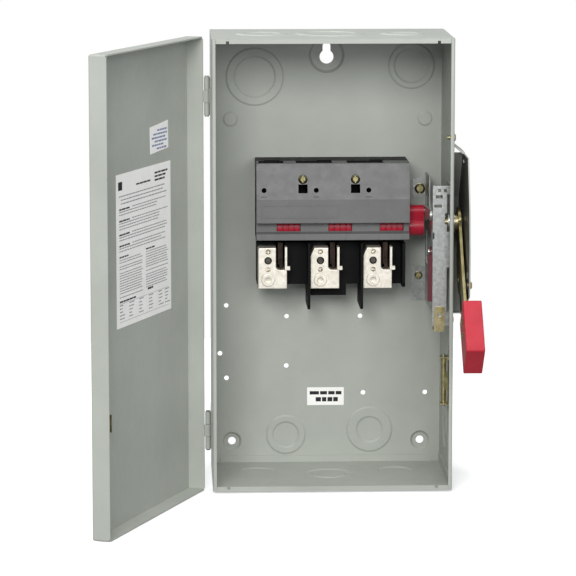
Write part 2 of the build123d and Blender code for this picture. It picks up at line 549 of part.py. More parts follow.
# torsion spring round the operating shaft, drawn as turns of wire with two legs
turns = []
for k in range(4):
    turns.append(Pos(127.2 + 2.25 * k, PIVOT_Y, PIVOT_Z) * Rot(0, 90, 0) * Torus(8.6, 1.0))
turns.append(cyz(127.05, PIVOT_Y + 8.7, PIVOT_Z - 26, PIVOT_Z + 1.5, 0.9))
turns.append(cyz(134.1, PIVOT_Y - 8.7, PIVOT_Z - 1.5, PIVOT_Z + 24, 0.9))
for k in range(3):
    turns.append(cyx(127.2 + 2.25 * k, 129.45 + 2.25 * k, PIVOT_Y, PIVOT_Z + 8.6, 0.9))
toggle_spring = turns[0]
for t in turns[1:]:
    toggle_spring = toggle_spring + t

crank_pin = cyx(116.4, 121, CRANK_PIN[0], CRANK_PIN[1], 3.0)
drive_crank = slab_x((PIVOT_Y, PIVOT_Z), CRANK_PIN, 6.0, 119.8, 124.0) \
    + cyx(119.8, 125.5, PIVOT_Y, PIVOT_Z, 8.6) + crank_pin
drive_crank = drive_crank - cyx(119, 127, PIVOT_Y, PIVOT_Z, 6.0)
LINK_DROP = 0.9
link_end = (ROTOR_PIN[0], ROTOR_PIN[1] - LINK_DROP)
drive_link = slab_x(CRANK_PIN, link_end, 6.6, 116.8, 119.3)
drive_link = drive_link - cyx(116, 120, CRANK_PIN[0], CRANK_PIN[1], 3.05) \
    - cyx(116, 120, link_end[0], link_end[1], 4.4)

INTERLOCK_PIVOT = (-140.0, 284.0)
interlock_pin = cyx(115.4, 121.1, INTERLOCK_PIVOT[0], INTERLOCK_PIVOT[1], 2.0) \
    + cyx(114.6, 115.6, INTERLOCK_PIVOT[0], INTERLOCK_PIVOT[1], 3.4)
mechanism_frame = mechanism_frame - cyx(119, 122, INTERLOCK_PIVOT[0], INTERLOCK_PIVOT[1], 2.0)
lever = slab_x(INTERLOCK_PIVOT, (-141.0, 232.0), 6.2, 117.0, 118.8)
lever = lever + bx(117.0, 118.8, -151.0, -141.0, 226, 282)
lever = lever + bx(113.6, 118.8, -152.6, -151.0, 226, 282)
lever = lever - cyx(116, 120, INTERLOCK_PIVOT[0], INTERLOCK_PIVOT[1], 2.05)
interlock_lever = lever

# ================================================================ HANDLE AND GUARD
ca, sa = math.cos(math.radians(LEVER_ANGLE)), math.sin(math.radians(LEVER_ANGLE))


def lev(r, p):
    # r along the lever, p square to it towards the front and up
    return (PIVOT_Y - ca * r - sa * p, PIVOT_Z - sa * r + ca * p)


handle_shaft = cyx(119.8, 155.2, PIVOT_Y, PIVOT_Z, 5.98)
handle_shaft = handle_shaft + cyx(146.4, 150.0, PIVOT_Y, PIVOT_Z, 10.5)
handle_shaft = handle_shaft + extrude(
    Plane(origin=(153.2, PIVOT_Y, PIVOT_Z), z_dir=(1, 0, 0)) * RegularPolygon(10.5, 6), amount=2.0)
handle_shaft = handle_shaft - bx(154.4, 156, PIVOT_Y - 7, PIVOT_Y + 7, PIVOT_Z - 0.7, PIVOT_Z + 0.7)
bush = cyx(W2, W2 + 3, PIVOT_Y, PIVOT_Z, 13.0) + cyx(xi - 3.4, W2 + 1, PIVOT_Y, PIVOT_Z, 8.95) \
    + cyx(xi - 3.4, xi, PIVOT_Y, PIVOT_Z, 12.4)
shaft_bushing = bush - cyx(130, 150, PIVOT_Y, PIVOT_Z, 6.03)

arm_pts = [lev(-14, 12), lev(20, 17), lev(70, 13.0), lev(178, 13.0), lev(178, -13.0), lev(92, -13.0),
           lev(78, -40), lev(48, -44), lev(14, -20), lev(-14, -12)]
handle_arm = prism_x(arm_pts, 150.0, 153.2) + cyx(150, 153.2, PIVOT_Y, PIVOT_Z, 18.0)
handle_arm = soft(handle_arm, 5.0, lambda s: s.edges().filter_by(Axis.X).filter_by(
    lambda e: any(math.hypot(e.center().Y - q[0], e.center().Z - q[1]) < 0.5
                  for q in (lev(78, -40), lev(48, -44)))))
handle_arm = handle_arm - cyx(148, 155, PIVOT_Y, PIVOT_Z, 6.0)
lock = lev(62, -31)
handle_arm = handle_arm - cyx(148, 155, lock[0], lock[1], 5.0)


def grip_ring(r0, r1, w, x0, x1, rad):
    pts = [lev(r0, w), lev(r1, w), lev(r1, -w), lev(r0, -w)]
    g = prism_x(pts, x0, x1)
    return soft(g, rad, lambda s: s.edges().filter_by(Axis.X))


GR0, GR1 = LEVER_LEN - GRIP_L / 2, LEVER_LEN + GRIP_L / 2
GX1 = GRIP_X0 + GRIP_T
grip = grip_ring(GR0, GR1, GRIP_W / 2, GRIP_X0, GX1, 3.0)
grip = soft(grip, 1.2, lambda s: s.faces().sort_by(Axis.X)[0].edges() + s.faces().sort_by(Axis.X)[-1].edges())
grip = grip - grip_ring(GR0 + 4.5, GR1 - 4.5, GRIP_W / 2 - 4.5, GX1 - 1.6, GX1 + 1, 2.0)
grip = grip - grip_ring(GR0 + 8.5, GR1 - 8.5, GRIP_W / 2 - 8.5, GX1 - 4.5, GX1 + 1, 2.0)
grip = grip - grip_ring(GR0 + 13, GR1 - 13, GRIP_W / 2 - 13, GX1 - 11, GX1 + 1, 2.0)
grip = grip - prism_x([lev(GR0 - 1, 13.05), lev(178.1, 13.05), lev(178.1, -13.05), lev(GR0 - 1, -13.05)],
                      149.95, 153.25)
handle_grip = grip
rivets = []
for rr in (146.0, 166.0):
    q = lev(rr, 0)
    hole = cyx(GRIP_X0 - 1, GX1 - 8, q[0], q[1], 2.5)
    handle_grip = handle_grip - cyx(GRIP_X0 - 1, GX1 - 10, q[0], q[1], 2.5)
    handle_arm = handle_arm - hole
    rivets.append(cyx(GRIP_X0 - 1.4, 157.5, q[0], q[1], 2.48)
                  + frustum((GRIP_X0, q[0], q[1]), (-1, 0, 0), 4.6, 3.0, 1.6))
grip_rivets = rivets

GY = -168.0
guard_pts = [(GY - 32, 402), (GY - 54, 345), (GY - 60, 300), (GY - 60, 262), (GY - 54, 242),
             (GY + 51, 203), (GY + 100, 295), (GY + 84, 345), (GY + 38, 402)]
guard = prism_x(guard_pts, GUARD_X - SHEET, GUARD_X)
guard = soft(guard, 9.0, lambda s: s.edges().filter_by(Axis.X).filter_by(
    lambda e: e.center().Z < 400))
# rear skirt that closes the gap between the plate and the wall behind the handle
guard_in = inset(guard_pts, SHEET)
skirt = prism_x([guard_pts[5], guard_pts[6], guard_pts[7], guard_pts[8],
                 guard_in[8], guard_in[7], guard_in[6], guard_in[5]], W2 + 0.3, GUARD_X)
block = prism_x(guard_pts, W2, GUARD_X)
block = soft(block, 9.0, lambda s: s.edges().filter_by(Axis.X).filter_by(
    lambda e: e.center().Z < 400))
guard = guard + (skirt & block)
# sloped top tab with its foot on the wall
tab = prism_y([(GUARD_X, 400), (GUARD_X, 403), (W2 + SHEET, 413), (W2 + SHEET, 427), (W2, 427),
               (W2, 411.5), (GUARD_X - SHEET, 400.8), (GUARD_X - SHEET, 400)], -145.0, -104.0)
tab2 = prism_x([(-145.0, 399), (-104.0, 399), (-104.0, 427), (-145.0, 427)], W2 - 1, GUARD_X + 1)
guard = guard + (tab & tab2)
# bottom tab: back to the wall and down to its screw
guard = guard + bx(W2, GUARD_X, -126, -100, 207, 208.6)
guard = guard + bx(W2, W2 + SHEET, -126, -100, 190, 208.6)
guard = guard - prism_x([(-126, 190), (-117, 203.2), (-100, 232), (-90, 232), (-90, 190)],
                        GUARD_X - 8, GUARD_X - SHEET - 0.001)
for gy, gz in GUARD_SCREWS:
    guard = guard - cyx(W2 - 1, W2 + 3, gy, gz, 2.6)
# slanted window at the padlock hole of the arm, and the small slots near the front corner
win = []
for dr, dp in ((-24, -7.5), (24, -7.5), (24, 7.5), (-24, 7.5)):
    a = math.radians(38)
    win.append((lock[0] + dr * math.cos(a) - dp * math.sin(a), lock[1] + dr * math.sin(a) + dp * math.cos(a)))
guard = guard - prism_x(win, GUARD_X - 3, GUARD_X + 1)
guard = guard - cyx(GUARD_X - 3, GUARD_X + 1, -152, 231, 2.2)
for sy, sz in ((-201, 252), (-201, 264)):
    guard = guard - bx(GUARD_X - 3, GUARD_X + 1, sy - 2.2, sy + 2.2, sz - 4, sz + 4)
guard = guard - bx(GUARD_X - 3, GUARD_X + 1, -150, -141, 391, 394.5)
guard = guard - cyx(GUARD_X - 3, GUARD_X + 1, -212, 254, 3.0)
handle_guard = guard
guard_pin = cyx(155.5, GUARD_X, -212, 254, 2.98) + frustum((GUARD_X, -212, 254), (1, 0, 0), 5.2, 3.4, 3.0)
guard_screws = []
for gy, gz in GUARD_SCREWS:
    guard_screws.append(screw((W2 + SHEET, gy, gz), (1, 0, 0), 5.2, 3.6, 2.4, 7.0, 1.3))

# ================================================================ DOOR LATCH
LATCH_PIVOT = (133.6, -148.0)
LATCH_THROW = 16.0
latch_bracket = bx(xi - SHEET, xi, -162, -138, 90, 170)
for z0, z1 in ((101, 102.6), (157.4, 159)):
    latch_bracket = latch_bracket + bx(129.5, xi, -155, -141, z0, z1)
    latch_bracket = latch_bracket - cyz(LATCH_PIVOT[0], LATCH_PIVOT[1], z0 - 1, z1 + 1, 1.6)
for ly, lz in LATCH_RIVETS:
    latch_bracket = latch_bracket - cyx(xi - 3, xi + 1, ly, lz, 2.1)
latch_pin = cyz(LATCH_PIVOT[0], LATCH_PIVOT[1], 99.6, 160.4, 1.58) \
    + cyz(LATCH_PIVOT[0], LATCH_PIVOT[1], 98.8, 100.2, 2.6) + cyz(LATCH_PIVOT[0], LATCH_PIVOT[1], 159.8, 161.2, 2.6)
catch = cyz(LATCH_PIVOT[0], LATCH_PIVOT[1], 103.4, 156.6, 3.1) \
    + bx(133.4, 135.0, -163.5, -148, 103.4, 156.6)
catch = catch + prism_z([(133.4, -163.5), (135.0, -163.5), (135.0, -161.9), (133.4, -160.2),
                         (130.2, -158.2), (129.4, -159.6)], 124.6, 135.4)
catch = catch - bx(132, 136, -161, -152, 106, 119) - bx(132, 136, -161, -152, 141, 154)
catch = catch - cyz(LATCH_PIVOT[0], LATCH_PIVOT[1], 100, 160, 1.63)
# the catch is drawn swung back by LATCH_THROW, clear of the striker
catch_back = Pos(LATCH_PIVOT[0], LATCH_PIVOT[1], 0) * Rot(0, 0, LATCH_THROW) * Pos(
    -LATCH_PIVOT[0], -LATCH_PIVOT[1], 0) * catch
latch_spring = prism_z([(139.8, -143), (139.2, -143), (136.9, -147.2), (137.5, -147.6)], 122, 138) \
    + bx(139.2, 139.8, -143.2, -139.0, 122, 138)
latch_rivets = []
for ly, lz in LATCH_RIVETS:
    latch_rivets.append(cyx(xi - SHEET - 0.2, W2 + 0.2, ly, lz, 2.05)
                        + frustum((xi - SHEET, ly, lz), (-1, 0, 0), 3.6, 2.2, 1.3)
                        + frustum((W2, ly, lz), (1, 0, 0), 2.6, 2.0, 0.3))

# ================================================================ WRITE
save("case_wrap", case_wrap)
save("top_endwall", top_endwall)
save("bottom_endwall", bottom_endwall)
save("hinge_leaves_case", *case_leaves)
save("hinge_pins", *hinge_pins)
save("hinge_bolts", *case_bolts)
save("back_label", back_label)
save("switch_base", switch_base)
save("line_shield", shield)
save("shield_screws", *shield_screws)
save("line_lugs", *line_lugs)
save("line_lug_screws", *line_lug_screws)
save("line_jaws", *line_jaws)
save("load_base", load_base)
save("phase_barriers", *barriers)
save("load_lugs", *load_lugs)
save("lug_set_screws", *set_screws)
save("lug_fixing_screws", *lug_screws)
save("load_jaws", *load_jaws)
save("load_terminal_posts", *load_posts)
save("mechanism_frame", mechanism_frame)
save("mechanism_foot", mechanism_foot)
save("mechanism_screws", *mechanism_screws)
save("spring_anchor", spring_anchor)
save("toggle_spring", toggle_spring)
save("shaft_bushing", shaft_bushing)
save("interlock_pin", interlock_pin)
save("handle_guard", handle_guard)
save("guard_pin", guard_pin)
save("guard_screws", *guard_screws)
save("latch_bracket", latch_bracket)
save("latch_pin", latch_pin)
save("latch_spring", latch_spring)
save("latch_rivets", *latch_rivets)
save("rotor_bar", rotor_bar)
save("rotor_crank_pin", rotor_pin)
save("switch_blades", *blades)
save("drive_crank", drive_crank)
save("handle_shaft", handle_shaft)
save("handle_arm", handle_arm)
save("handle_grip", handle_grip)
save("grip_rivets", *grip_rivets)
save("drive_link", drive_link)
save("interlock_lever", interlock_lever)
save("latch_catch", catch_back)
save("door_pan", shut_to_open(door_pan))
save("hinge_leaves_door", *[shut_to_open(l) for l in door_leaves])
save("door_rivets", *[shut_to_open(r) for r in door_rivets])
save("door_striker", shut_to_open(striker))
save("door_front_label", shut_to_open(door_front_label))
save("door_inner_label", shut_to_open(door_inner_label))
save("door_small_label", shut_to_open(door_small_label))
print("rotor pin", ROTOR_PIN, "crank pin", CRANK_PIN, "link end", link_end)
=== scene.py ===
import bpy, bmesh, math, random, json
from mathutils import Vector, Matrix


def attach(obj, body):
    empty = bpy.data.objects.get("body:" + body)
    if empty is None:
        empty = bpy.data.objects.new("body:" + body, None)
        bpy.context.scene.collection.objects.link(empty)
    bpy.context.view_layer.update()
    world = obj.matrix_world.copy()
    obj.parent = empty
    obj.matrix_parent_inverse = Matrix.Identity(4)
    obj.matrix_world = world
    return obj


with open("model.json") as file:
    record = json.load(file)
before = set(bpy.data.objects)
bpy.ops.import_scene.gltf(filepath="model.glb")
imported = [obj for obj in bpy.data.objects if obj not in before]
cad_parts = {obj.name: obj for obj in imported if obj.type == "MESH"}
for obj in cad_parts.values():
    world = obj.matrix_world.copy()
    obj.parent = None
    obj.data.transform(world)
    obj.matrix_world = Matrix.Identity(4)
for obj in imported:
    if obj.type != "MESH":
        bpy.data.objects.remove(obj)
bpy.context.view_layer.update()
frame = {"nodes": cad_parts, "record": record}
nodes = frame["nodes"]
scene = bpy.context.scene

# ------------------------------------------------------------------ places, in metres
HOLE_Z = 0.028                      # lower mounting holes above the case bottom
PIN = Vector((-0.1485, -0.146, 0.0))
DOOR_OPEN = math.radians(112.0)
Y_DOOR_IN = -0.169
Y_DOOR_OUT = -0.1706
Y_BACK_IN = -0.0046


def cz(z_mm):
    return z_mm / 1000.0 - HOLE_Z


def door_matrix():
    return (Matrix.Translation(PIN) @ Matrix.Rotation(-DOOR_OPEN, 4, "Z")
            @ Matrix.Translation(-PIN))


# ------------------------------------------------------------------ camera
FW = 576.0
cam_data = bpy.data.cameras.new("photo_camera")
cam = bpy.data.objects.new("photo_camera", cam_data)
scene.collection.objects.link(cam)
scene.camera = cam
EYE = Vector((-0.1964, -3.9045, 0.7924))
AIM = Vector((-0.0535, -0.168, 0.2175))
cam.location = EYE
cam.rotation_euler = (AIM - EYE).to_track_quat("-Z", "Y").to_euler()
cam_data.sensor_width = 36.0
cam_data.lens = 36.0 * 2307.5 * 1.385 / FW
cam_data.clip_end = 60.0

# ------------------------------------------------------------------ light
world = bpy.data.worlds.new("studio")
scene.world = world
world.use_nodes = True
wt = world.node_tree
wt.nodes.clear()
wo = wt.nodes.new("ShaderNodeOutputWorld")
mix = wt.nodes.new("ShaderNodeMixShader")
lp = wt.nodes.new("ShaderNodeLightPath")
b0 = wt.nodes.new("ShaderNodeBackground")
b1 = wt.nodes.new("ShaderNodeBackground")
b0.inputs["Color"].default_value = (0.95, 0.97, 1.0, 1)
b0.inputs["Strength"].default_value = 0.42
b1.inputs["Color"].default_value = (1, 1, 1, 1)
b1.inputs["Strength"].default_value = 1.0
wt.links.new(lp.outputs["Is Camera Ray"], mix.inputs[0])
wt.links.new(b0.outputs[0], mix.inputs[1])
wt.links.new(b1.outputs[0], mix.inputs[2])
wt.links.new(mix.outputs[0], wo.inputs[0])


def area(name, loc, aim, size, power, color=(1, 1, 1), size_y=None):
    d = bpy.data.lights.new(name, "AREA")
    d.energy = power
    d.color = color
    d.size = size
    if size_y:
        d.shape = "RECTANGLE"
        d.size_y = size_y
    o = bpy.data.objects.new(name, d)
    scene.collection.objects.link(o)
    o.location = loc
    o.rotation_euler = (Vector(aim) - Vector(loc)).to_track_quat("-Z", "Y").to_euler()
    return o


area("key_soft", (-0.75, -3.7, 1.75), (0, -0.1, 0.2), 1.3, 90, (1.0, 0.995, 0.98))
area("front_fill", (0.9, -3.6, 1.2), (0, -0.1, 0.2), 1.6, 40, (0.99, 1.0, 1.0))
area("top_soft", (0.0, -0.5, 2.3), (0, -0.1, 0.2), 1.5, 27, (1, 1, 1))
area("left_rim", (-2.4, -0.4, 1.2), (-0.1, -0.1, 0.25), 1.0, 12, (1, 1, 1))
area("back_fill", (-1.6, 2.6, 1.5), (0, -0.1, 0.2), 1.3, 34, (1, 1, 1))
scene.view_settings.view_transform = "Standard"
scene.view_settings.look = "None"

# ------------------------------------------------------------------ floor
bm = bmesh.new()
R = 0.95
rim = [bm.verts.new((R * math.cos(k * math.pi / 48), R * math.sin(k * math.pi / 48), -0.0306)) for k in range(96)]
bm.faces.new(rim)
me = bpy.data.meshes.new("floor")
bm.to_mesh(me)
bm.free()
floor = bpy.data.objects.new("floor", me)
scene.collection.objects.link(floor)
floor.visible_diffuse = False        # the floor shows and takes shadow, but doesn't light the box from below
floor.visible_glossy = False


# ------------------------------------------------------------------ material kit
class Mat:
    def __init__(self, name):
        self.m = bpy.data.materials.new(name)
        self.m.use_nodes = True
        self.t = self.m.node_tree
        self.t.nodes.clear()
        self.out = self.t.nodes.new("ShaderNodeOutputMaterial")
        self.p = self.t.nodes.new("ShaderNodeBsdfPrincipled")
        self.t.links.new(self.p.outputs[0], self.out.inputs[0])
        self.co = self.t.nodes.new("ShaderNodeTexCoord")
        self.height = []

    def n(self, kind, **props):
        k = self.t.nodes.new(kind)
        for a, b in props.items():
            setattr(k, a, b)
        return k

    def link(self, a, b):
        self.t.links.new(a, b)

    def mapping(self, scale=(1, 1, 1), rot=(0, 0, 0)):
        mp = self.n("ShaderNodeMapping")
        mp.inputs["Scale"].default_value = scale
        mp.inputs["Rotation"].default_value = rot
        self.link(self.co.outputs["Object"], mp.inputs["Vector"])
        return mp.outputs[0]

    def noise(self, scale, detail=3.0, rough=0.55, vec=None, dist=0.0):
        k = self.n("ShaderNodeTexNoise")
        k.inputs["Scale"].default_value = scale
        k.inputs["Detail"].default_value = detail
        k.inputs["Roughness"].default_value = rough
        k.inputs["Distortion"].default_value = dist
        self.link(vec or self.co.outputs["Object"], k.inputs["Vector"])
        return k.outputs["Fac"]

    def ramp(self, fac, stops):
        r = self.n("ShaderNodeValToRGB")
        els = r.color_ramp.elements
        while len(els) < len(stops):
            els.new(0.5)
        for e, (pos, col) in zip(els, stops):
            e.position = pos
            e.color = (*col, 1) if len(col) == 3 else col
        self.link(fac, r.inputs[0])
        return r.outputs[0]

    def rng(self, fac, lo, hi, f0=0.0, f1=1.0):
        r = self.n("ShaderNodeMapRange")
        r.inputs["From Min"].default_value = f0
        r.inputs["From Max"].default_value = f1
        r.inputs["To Min"].default_value = lo
        r.inputs["To Max"].default_value = hi
        self.link(fac, r.inputs["Value"])
        return r.outputs[0]

    def mixc(self, fac, a, b, mode="MIX"):
        k = self.n("ShaderNodeMix", data_type="RGBA", blend_type=mode)
        if isinstance(fac, float):
            k.inputs[0].default_value = fac
        else:
            self.link(fac, k.inputs[0])
        for sock, v in ((k.inputs[6], a), (k.inputs[7], b)):
            if isinstance(v, tuple):
                sock.default_value = (*v, 1)
            else:
                self.link(v, sock)
        return k.outputs[2]

    def color(self, v):
        if isinstance(v, tuple):
            self.p.inputs["Base Color"].default_value = (*v, 1)
        else:
            self.link(v, self.p.inputs["Base Color"])

    def rough(self, v):
        if isinstance(v, float):
            self.p.inputs["Roughness"].default_value = v
        else:
            self.link(v, self.p.inputs["Roughness"])

    def bump(self, fac, strength, dist, prev=None):
        b = self.n("ShaderNodeBump")
        b.inputs["Strength"].default_value = strength
        b.inputs["Distance"].default_value = dist
        self.link(fac, b.inputs["Height"])
        if prev is not None:
            self.link(prev, b.inputs["Normal"])
        return b.outputs[0]

    def normal(self, v):
        self.link(v, self.p.inputs["Normal"])


def paint(name, base, rough=(0.36, 0.5), dark=0.9, peel=0.10, inner=None):
    m = Mat(name)
    cloud = m.noise(7.0, 4.0, 0.6)
    a = tuple(c * dark for c in base)
    b = tuple(min(1.0, c * 1.05) for c in base)
    c1 = m.ramp(cloud, [(0.32, a), (0.68, b)])
    grime = m.noise(38.0, 6.0, 0.72, dist=0.4)
    g = m.rng(grime, 0.0, 0.10, 0.55, 0.8)
    c2 = m.mixc(g, c1, tuple(c * 0.62 for c in base))
    scuff = m.noise(1.0, 8.0, 0.85, vec=m.mapping((60, 60, 900), (0.5, 0.35, 0.2)))
    s = m.rng(scuff, 0.0, 0.16, 0.66, 0.78)
    c3 = m.mixc(s, c2, tuple(min(1.0, c * 1.35) for c in base))
    if inner:                       # painted shade: faces towards the case wall (normals towards -X) get a mottled near-black colour that stands in for the shadow inside the guard
        sep = m.n("ShaderNodeSeparateXYZ")
        m.link(m.co.outputs["Normal"], sep.inputs[0])
        side = m.rng(sep.outputs["X"], 1.0, 0.0, -0.7, -0.4)
        painted_shade_face = m.ramp(m.noise(30.0, 5.0, 0.7), [(0.3, inner), (0.75, tuple(v * 2.6 for v in inner))])
        c3 = m.mixc(side, c3, painted_shade_face)
    m.color(c3)
    m.rough(m.rng(m.noise(55.0, 4.0, 0.6), rough[0], rough[1], 0.3, 0.7))
    nb = m.bump(m.noise(720.0, 2.0, 0.5), peel, 0.0004)
    nb = m.bump(m.noise(14.0, 2.0, 0.5), 0.05, 0.002, nb)
    m.normal(nb)
    m.p.inputs["Specular IOR Level"].default_value = 0.45
    return m.m


def zinc(name, stops, rough=(0.26, 0.46), scale=70.0, metallic=1.0, brushed=0.12):
    m = Mat(name)
    warp = m.noise(scale, 5.0, 0.62, dist=0.8)
    m.color(m.ramp(warp, stops))
    m.p.inputs["Metallic"].default_value = metallic
    m.rough(m.rng(m.noise(scale * 2.3, 5.0, 0.7), rough[0], rough[1], 0.3, 0.7))
    scr = m.noise(1.0, 5.0, 0.7, vec=m.mapping((1800, 1800, 90), (0.25, 0.1, 0.4)))
    nb = m.bump(scr, brushed, 0.0002)
    nb = m.bump(m.noise(240.0, 3.0, 0.6), 0.06, 0.0004, nb)
    m.normal(nb)
    return m.m


def moulded(name, base, rough=(0.42, 0.6), grain=650.0, strength=0.18, spec=0.4, coat=0.0, vary=0.88):
    m = Mat(name)
    c = m.ramp(m.noise(24.0, 5.0, 0.65), [(0.3, tuple(v * vary for v in base)), (0.72, tuple(min(1, v * 1.07) for v in base))])
    speck = m.rng(m.noise(900.0, 2.0, 0.5), 0.0, 0.22, 0.62, 0.78)
    c = m.mixc(speck, c, tuple(min(1, v * 1.5 + 0.01) for v in base))
    m.color(c)
    m.rough(m.rng(m.noise(90.0, 4.0, 0.6), rough[0], rough[1], 0.3, 0.7))
    nb = m.bump(m.noise(grain, 3.0, 0.6), strength, 0.0003)
    m.normal(nb)
    m.p.inputs["Specular IOR Level"].default_value = spec
    if coat:
        m.p.inputs["Coat Weight"].default_value = coat
        m.p.inputs["Coat Roughness"].default_value = 0.18
    return m.m


def paper(name, base, rough=(0.42, 0.55), spec=0.3):
    m = Mat(name)
    m.p.inputs["Specular IOR Level"].default_value = spec
    c = m.ramp(m.noise(60.0, 5.0, 0.6), [(0.3, tuple(v * 0.94 for v in base)), (0.7, base)])
    m.color(c)
    m.rough(m.rng(m.noise(120.0, 3.0, 0.5), rough[0], rough[1], 0.3, 0.7))
    nb = m.bump(m.noise(1500.0, 2.0, 0.6), 0.12, 0.0001)
    nb = m.bump(m.noise(18.0, 2.0, 0.5), 0.12, 0.001, nb)
    m.normal(nb)
    return m.m


PAINT = (0.385, 0.405, 0.368)
M = {
    "case_paint": paint("case_paint", PAINT),
    "door_paint": paint("door_paint", tuple(c * 1.0 for c in PAINT)),
    # the guard's inner colour is painted shade, put on its faces that point towards -X
    "guard_paint": paint("guard_paint", tuple(c * 1.0 for c in PAINT), peel=0.12, inner=(0.022, 0.021, 0.018)),
    "plain_steel": zinc("plain_steel", [(0.3, (0.36, 0.35, 0.33)), (0.7, (0.55, 0.54, 0.52))]),
    "yellow_zinc": zinc("yellow_zinc", [(0.28, (0.20, 0.20, 0.10)), (0.45, (0.38, 0.34, 0.17)),
                                        (0.6, (0.50, 0.44, 0.25)), (0.76, (0.40, 0.34, 0.27))]),
    "olive_zinc": zinc("olive_zinc", [(0.28, (0.13, 0.13, 0.06)), (0.5, (0.24, 0.21, 0.10)),
                                      (0.75, (0.34, 0.29, 0.17))]),
    "bright_zinc": zinc("bright_zinc", [(0.25, (0.27, 0.275, 0.27)), (0.5, (0.38, 0.39, 0.38)),
                                        (0.75, (0.49, 0.50, 0.48))], rough=(0.3, 0.46), scale=210.0, metallic=0.9),
    "dark_steel": zinc("dark_steel", [(0.3, (0.05, 0.048, 0.044)), (0.7, (0.13, 0.12, 0.105))], rough=(0.35, 0.5)),
    "brass": zinc("brass", [(0.3, (0.50, 0.34, 0.13)), (0.7, (0.74, 0.55, 0.26))]),
    "tin": zinc("tinned_aluminium", [(0.25, (0.60, 0.56, 0.47)), (0.6, (0.83, 0.79, 0.70)),
                                     (0.8, (0.90, 0.87, 0.79))], rough=(0.34, 0.52), scale=120.0, metallic=0.65),
    "copper": zinc("copper", [(0.3, (0.014, 0.011, 0.010)), (0.7, (0.055, 0.038, 0.030))], rough=(0.45, 0.65)),
    "moulded_black": moulded("moulded_black", (0.006, 0.006, 0.0065), rough=(0.45, 0.6), strength=0.14, spec=0.08),
    "moulded_grey": moulded("moulded_grey", (0.134, 0.136, 0.134), rough=(0.42, 0.58), strength=0.3),
    "maroon": moulded("maroon", (0.085, 0.004, 0.012), rough=(0.4, 0.52), strength=0.1),
    "red_moulding": moulded("red_moulding", (0.42, 0.008, 0.03), rough=(0.3, 0.45), strength=0.1),
    "red_grip": moulded("red_grip", (0.43, 0.017, 0.033), rough=(0.36, 0.48), grain=420.0, strength=0.07,
                        spec=0.24, vary=0.84),
    "label_white": paper("label_white", (0.93, 0.925, 0.90)),
    "label_black": paper("label_black", (0.008, 0.008, 0.0085), rough=(0.34, 0.46), spec=0.1),
    "print_white": paper("print_white", (0.80, 0.80, 0.79)),
    "print_red": paper("print_red", (0.58, 0.02, 0.035)),
    "print_grey": paper("print_grey", (0.26, 0.26, 0.265)),
    "print_mid": paper("print_mid", (0.34, 0.34, 0.34)),
    "print_dark": paper("print_dark", (0.03, 0.03, 0.033), spec=0.1),
    "print_blue": paper("print_blue", (0.20, 0.24, 0.42)),
    "floor": None,
}
mf = Mat("studio_floor")
mf.color(mf.ramp(mf.noise(2.0, 3.0, 0.5), [(0.3, (0.84, 0.84, 0.84)), (0.7, (0.88, 0.88, 0.88))]))
mf.rough(0.8)
mf.p.inputs["Specular IOR Level"].default_value = 0.15
mf.p.inputs["Emission Color"].default_value = (1, 1, 1, 1)
mf.p.inputs["Emission Strength"].default_value = 0.30
floor.data.materials.append(mf.m)

M["lug_screw"] = M["tin"]
SLOT = {s["node"]: s["material_slot"] for s in frame["record"]["subparts"]}
ALIAS = {"case_paint": "case_paint", "tinned_aluminium": "tin"}
for n, o in nodes.items():
    key = ALIAS.get(SLOT[n], SLOT[n])
    if n in ("door_pan", "hinge_leaves_door", "door_rivets"):
        key = "door_paint"
    if n == "handle_guard":
        key = "guard_paint"
    if n in ("lug_fixing_screws", "line_lug_screws"):
        key = "dark_steel"
    if n == "interlock_lever":
        key = "maroon"
    if n == "handle_arm":
        key = "olive_zinc"
    if n == "lug_set_screws":
        key = "lug_screw"
    o.data.materials.clear()
    o.data.materials.append(M[key])


# ------------------------------------------------------------------ edges of the CAD nodes
def bevel(name, width, segs=2, angle=32.0):
    o = nodes[name]
    b = o.modifiers.new("edge", "BEVEL")
    b.width = width
    b.segments = segs
    b.limit_method = "ANGLE"
    b.angle_limit = math.radians(angle)
    b.use_clamp_overlap = True
    b.harden_normals = False
    b.miter_outer = "MITER_ARC"


for nm, w in (("line_shield", 0.0005), ("switch_base", 0.0005), ("load_lugs", 0.0006), ("load_base", 0.0005),
              ("phase_barriers", 0.0004), ("mechanism_frame", 0.0003), ("handle_arm", 0.0004),
              ("handle_guard", 0.0004), ("line_lugs", 0.0004), ("latch_catch", 0.0003), ("spring_anchor", 0.0003),
              ("mechanism_foot", 0.0003), ("case_wrap", 0.0003), ("top_endwall", 0.0003), ("bottom_endwall", 0.0003)):
    bevel(nm, w)


# ------------------------------------------------------------------ print on the labels
rnd = random.Random(31)


def new_piece(name, bm, mat, body, open_with_door=False):
    me = bpy.data.meshes.new(name)
    bmesh.ops.recalc_face_normals(bm, faces=bm.faces)
    if open_with_door:
        bm.transform(door_matrix())
    bm.to_mesh(me)
    bm.free()
    o = bpy.data.objects.new(name, me)
    scene.collection.objects.link(o)
    me.materials.append(mat)
    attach(o, body)
    return o


def add_poly(bm, pts, y0, y1):
    """A flat outline in (x, z) mm, given thickness along Y."""
    a = [bm.verts.new((x / 1000.0, y0 / 1000.0, cz(z))) for x, z in pts]
    b = [bm.verts.new((x / 1000.0, y1 / 1000.0, cz(z))) for x, z in pts]
    bm.faces.new(a)
    bm.faces.new(list(reversed(b)))
    for i in range(len(pts)):
        k = (i + 1) % len(pts)
        bm.faces.new((a[i], b[i], b[k], a[k]))


def add_rect(bm, x0, x1, z0, z1, y0, y1):
    add_poly(bm, [(x0, z0), (x1, z0), (x1, z1), (x0, z1)], y0, y1)


